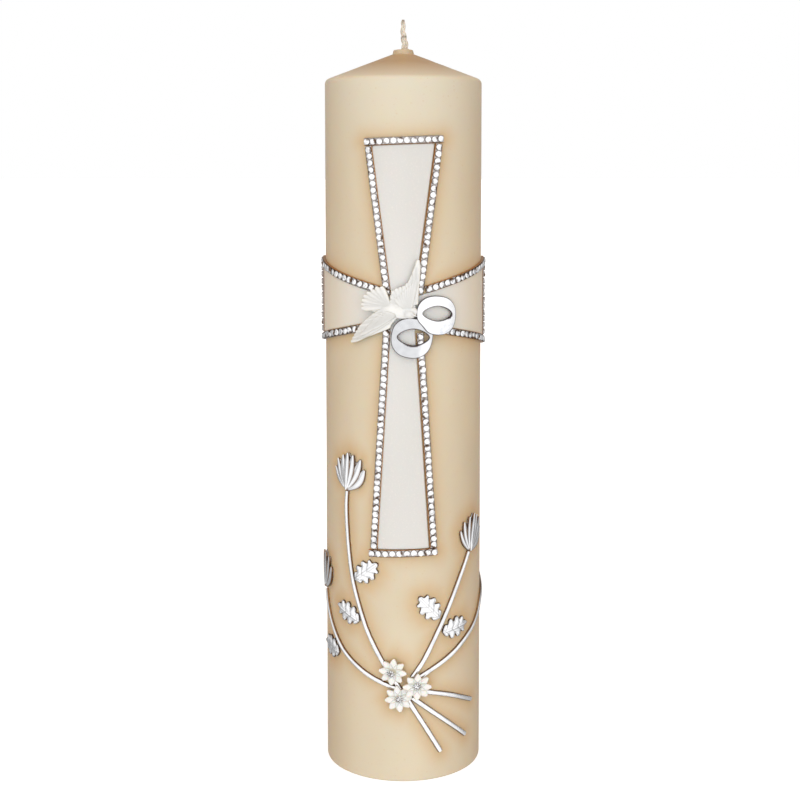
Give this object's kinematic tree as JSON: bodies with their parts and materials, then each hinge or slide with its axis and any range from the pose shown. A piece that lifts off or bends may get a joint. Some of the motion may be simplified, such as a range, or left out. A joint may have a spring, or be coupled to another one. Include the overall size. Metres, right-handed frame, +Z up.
{
  "type": "unity candle",
  "caption": "Cream wax pillar candle with a tall pearl cross edged in silver beads, a dove and linked rings over the crossing, and a bouquet of silver tulips tied by white daisies",
  "frame": {"origin": "centre of the flat foot, where the candle stands", "axes": "+Z up along the pillar, the decorated front faces -Y, +X to the right seen from the front"},
  "size_m": [0.074, 0.0744, 0.3354],
  "materials": {
    "wax": "smooth satin cream wax, slightly translucent",
    "wick_cotton": "plaited waxed cotton",
    "pearl_wax": "pearl-white decorating wax sheet, satin sheen",
    "silver_trim": "bright silver foil over pressed wax beads",
    "silver_wax": "bright silver foil over wax relief",
    "ring_bright": "bright silver foil",
    "ring_grey": "silver foil, greyer",
    "pearl_petal": "pearl-white pressed wax petals",
    "rhinestone": "cut clear rhinestone"
  },
  "bodies": {
    "root": {"wax_body": "wax", "wick": "wick_cotton", "cross_panel": "pearl_wax", "trim_top": "silver_trim", "trim_upper_left": "silver_trim", "trim_upper_right": "silver_trim", "trim_left_arm_upper": "silver_trim", "trim_left_arm_end": "silver_trim", "trim_left_arm_lower": "silver_trim", "trim_right_arm_upper": "silver_trim", "trim_right_arm_end": "silver_trim", "trim_right_arm_lower": "silver_trim", "trim_lower_left": "silver_trim", "trim_lower_right": "silver_trim", "trim_bottom": "silver_trim", "dove": "pearl_wax", "ring_upper": "ring_bright", "ring_lower": "ring_grey", "stem_left": "silver_wax", "stem_far_left": "silver_wax", "stem_right": "silver_wax", "stem_far_right": "silver_wax", "tail_middle": "silver_wax", "tail_right": "silver_wax", "tulip_left": "silver_wax", "tulip_far_left": "silver_wax", "tulip_right": "silver_wax", "tulip_far_right": "silver_wax", "leaf_left_upper": "silver_wax", "leaf_left_middle": "silver_wax", "leaf_left_lower": "silver_wax", "leaf_right_upper": "silver_wax", "leaf_right_lower": "silver_wax", "daisy_upper": "pearl_petal", "daisy_right": "pearl_petal", "daisy_lower": "pearl_petal", "stone_upper": "rhinestone", "stone_right": "rhinestone", "stone_lower": "rhinestone"}
  },
  "joints": []
}
